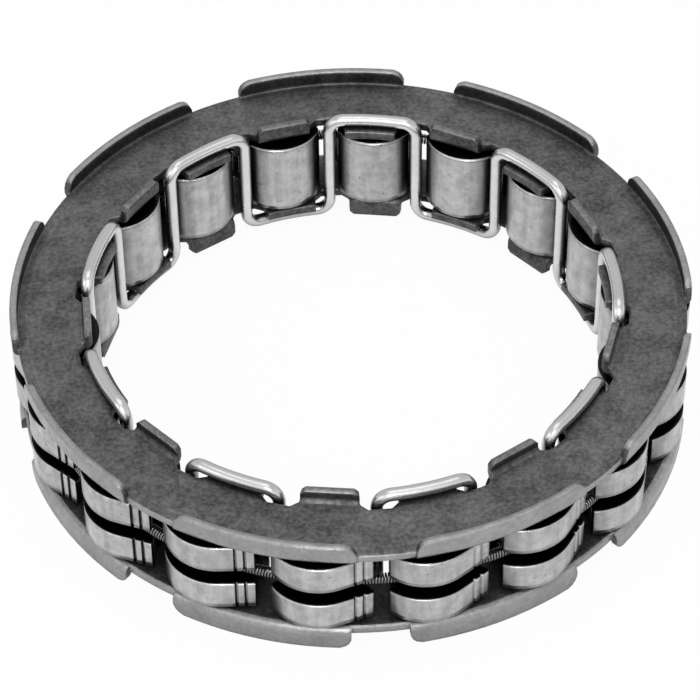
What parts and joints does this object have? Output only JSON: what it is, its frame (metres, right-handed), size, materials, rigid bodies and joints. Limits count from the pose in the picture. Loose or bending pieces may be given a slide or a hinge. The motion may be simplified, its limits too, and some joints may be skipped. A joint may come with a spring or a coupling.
{
  "type": "sprag clutch",
  "caption": "One-way clutch element: cam-shaped sprags spaced by a serpentine wire between two flanged side rings, pressed to their races by a garter spring.",
  "frame": {"origin": "centre of the element on its axis of rotation, half-way between the two side rings", "axes": "+Z along the axis of rotation; +X through the middle of sprag_01; the cams lock when the outer race turns clockwise against the inner race, seen from +Z"},
  "size_m": [0.0644, 0.0641, 0.0136],
  "materials": {
    "ring_steel": "matt dark phosphated sheet steel",
    "sprag_steel": "hardened bearing steel, satin, ground cams",
    "wire_steel": "bright drawn spring wire",
    "spring_steel": "bright close-wound spring wire"
  },
  "bodies": {
    "cage": {"top_ring": "ring_steel", "bottom_ring": "ring_steel", "separator_wire": "wire_steel", "garter_spring": "spring_steel"},
    "sprag_01": {"sprag_01": "sprag_steel"},
    "sprag_02": {"sprag_02": "sprag_steel"},
    "sprag_03": {"sprag_03": "sprag_steel"},
    "sprag_04": {"sprag_04": "sprag_steel"},
    "sprag_05": {"sprag_05": "sprag_steel"},
    "sprag_06": {"sprag_06": "sprag_steel"},
    "sprag_07": {"sprag_07": "sprag_steel"},
    "sprag_08": {"sprag_08": "sprag_steel"},
    "sprag_09": {"sprag_09": "sprag_steel"},
    "sprag_10": {"sprag_10": "sprag_steel"},
    "sprag_11": {"sprag_11": "sprag_steel"},
    "sprag_12": {"sprag_12": "sprag_steel"},
    "sprag_13": {"sprag_13": "sprag_steel"},
    "sprag_14": {"sprag_14": "sprag_steel"},
    "sprag_15": {"sprag_15": "sprag_steel"},
    "sprag_16": {"sprag_16": "sprag_steel"},
    "sprag_17": {"sprag_17": "sprag_steel"},
    "sprag_18": {"sprag_18": "sprag_steel"}
  },
  "joints": [
    {"name": "sprag_01_tilt", "type": "hinge", "parent": "cage", "child": "sprag_01", "pos_m": [0.02724, -0.0006, 0], "axis": [0, 0, 1], "range_deg": [-6, 3], "stiffness_Nm_per_rad": 0.0005},
    {"name": "sprag_02_tilt", "type": "hinge", "parent": "cage", "child": "sprag_02", "pos_m": [0.0258, 0.00875, 0], "axis": [0, 0, 1], "range_deg": [-6, 3], "stiffness_Nm_per_rad": 0.0005},
    {"name": "sprag_03_tilt", "type": "hinge", "parent": "cage", "child": "sprag_03", "pos_m": [0.02125, 0.01705, 0], "axis": [0, 0, 1], "range_deg": [-6, 3], "stiffness_Nm_per_rad": 0.0005},
    {"name": "sprag_04_tilt", "type": "hinge", "parent": "cage", "child": "sprag_04", "pos_m": [0.01414, 0.02329, 0], "axis": [0, 0, 1], "range_deg": [-6, 3], "stiffness_Nm_per_rad": 0.0005},
    {"name": "sprag_05_tilt", "type": "hinge", "parent": "cage", "child": "sprag_05", "pos_m": [0.00532, 0.02672, 0], "axis": [0, 0, 1], "range_deg": [-6, 3], "stiffness_Nm_per_rad": 0.0005},
    {"name": "sprag_06_tilt", "type": "hinge", "parent": "cage", "child": "sprag_06", "pos_m": [-0.00414, 0.02693, 0], "axis": [0, 0, 1], "range_deg": [-6, 3], "stiffness_Nm_per_rad": 0.0005},
    {"name": "sprag_07_tilt", "type": "hinge", "parent": "cage", "child": "sprag_07", "pos_m": [-0.0131, 0.02389, 0], "axis": [0, 0, 1], "range_deg": [-6, 3], "stiffness_Nm_per_rad": 0.0005},
    {"name": "sprag_08_tilt", "type": "hinge", "parent": "cage", "child": "sprag_08", "pos_m": [-0.02048, 0.01797, 0], "axis": [0, 0, 1], "range_deg": [-6, 3], "stiffness_Nm_per_rad": 0.0005},
    {"name": "sprag_09_tilt", "type": "hinge", "parent": "cage", "child": "sprag_09", "pos_m": [-0.02539, 0.00988, 0], "axis": [0, 0, 1], "range_deg": [-6, 3], "stiffness_Nm_per_rad": 0.0005},
    {"name": "sprag_10_tilt", "type": "hinge", "parent": "cage", "child": "sprag_10", "pos_m": [-0.02724, 0.0006, 0], "axis": [0, 0, 1], "range_deg": [-6, 3], "stiffness_Nm_per_rad": 0.0005},
    {"name": "sprag_11_tilt", "type": "hinge", "parent": "cage", "child": "sprag_11", "pos_m": [-0.0258, -0.00875, 0], "axis": [0, 0, 1], "range_deg": [-6, 3], "stiffness_Nm_per_rad": 0.0005},
    {"name": "sprag_12_tilt", "type": "hinge", "parent": "cage", "child": "sprag_12", "pos_m": [-0.02125, -0.01705, 0], "axis": [0, 0, 1], "range_deg": [-6, 3], "stiffness_Nm_per_rad": 0.0005},
    {"name": "sprag_13_tilt", "type": "hinge", "parent": "cage", "child": "sprag_13", "pos_m": [-0.01414, -0.02329, 0], "axis": [0, 0, 1], "range_deg": [-6, 3], "stiffness_Nm_per_rad": 0.0005},
    {"name": "sprag_14_tilt", "type": "hinge", "parent": "cage", "child": "sprag_14", "pos_m": [-0.00532, -0.02672, 0], "axis": [0, 0, 1], "range_deg": [-6, 3], "stiffness_Nm_per_rad": 0.0005},
    {"name": "sprag_15_tilt", "type": "hinge", "parent": "cage", "child": "sprag_15", "pos_m": [0.00414, -0.02693, 0], "axis": [0, 0, 1], "range_deg": [-6, 3], "stiffness_Nm_per_rad": 0.0005},
    {"name": "sprag_16_tilt", "type": "hinge", "parent": "cage", "child": "sprag_16", "pos_m": [0.0131, -0.02389, 0], "axis": [0, 0, 1], "range_deg": [-6, 3], "stiffness_Nm_per_rad": 0.0005},
    {"name": "sprag_17_tilt", "type": "hinge", "parent": "cage", "child": "sprag_17", "pos_m": [0.02048, -0.01797, 0], "axis": [0, 0, 1], "range_deg": [-6, 3], "stiffness_Nm_per_rad": 0.0005},
    {"name": "sprag_18_tilt", "type": "hinge", "parent": "cage", "child": "sprag_18", "pos_m": [0.02539, -0.00988, 0], "axis": [0, 0, 1], "range_deg": [-6, 3], "stiffness_Nm_per_rad": 0.0005}
  ],
  "couplings": [
    {"joint": "sprag_02_tilt", "follows": "sprag_01_tilt", "ratio": 1},
    {"joint": "sprag_03_tilt", "follows": "sprag_01_tilt", "ratio": 1},
    {"joint": "sprag_04_tilt", "follows": "sprag_01_tilt", "ratio": 1},
    {"joint": "sprag_05_tilt", "follows": "sprag_01_tilt", "ratio": 1},
    {"joint": "sprag_06_tilt", "follows": "sprag_01_tilt", "ratio": 1},
    {"joint": "sprag_07_tilt", "follows": "sprag_01_tilt", "ratio": 1},
    {"joint": "sprag_08_tilt", "follows": "sprag_01_tilt", "ratio": 1},
    {"joint": "sprag_09_tilt", "follows": "sprag_01_tilt", "ratio": 1},
    {"joint": "sprag_10_tilt", "follows": "sprag_01_tilt", "ratio": 1},
    {"joint": "sprag_11_tilt", "follows": "sprag_01_tilt", "ratio": 1},
    {"joint": "sprag_12_tilt", "follows": "sprag_01_tilt", "ratio": 1},
    {"joint": "sprag_13_tilt", "follows": "sprag_01_tilt", "ratio": 1},
    {"joint": "sprag_14_tilt", "follows": "sprag_01_tilt", "ratio": 1},
    {"joint": "sprag_15_tilt", "follows": "sprag_01_tilt", "ratio": 1},
    {"joint": "sprag_16_tilt", "follows": "sprag_01_tilt", "ratio": 1},
    {"joint": "sprag_17_tilt", "follows": "sprag_01_tilt", "ratio": 1},
    {"joint": "sprag_18_tilt", "follows": "sprag_01_tilt", "ratio": 1}
  ]
}
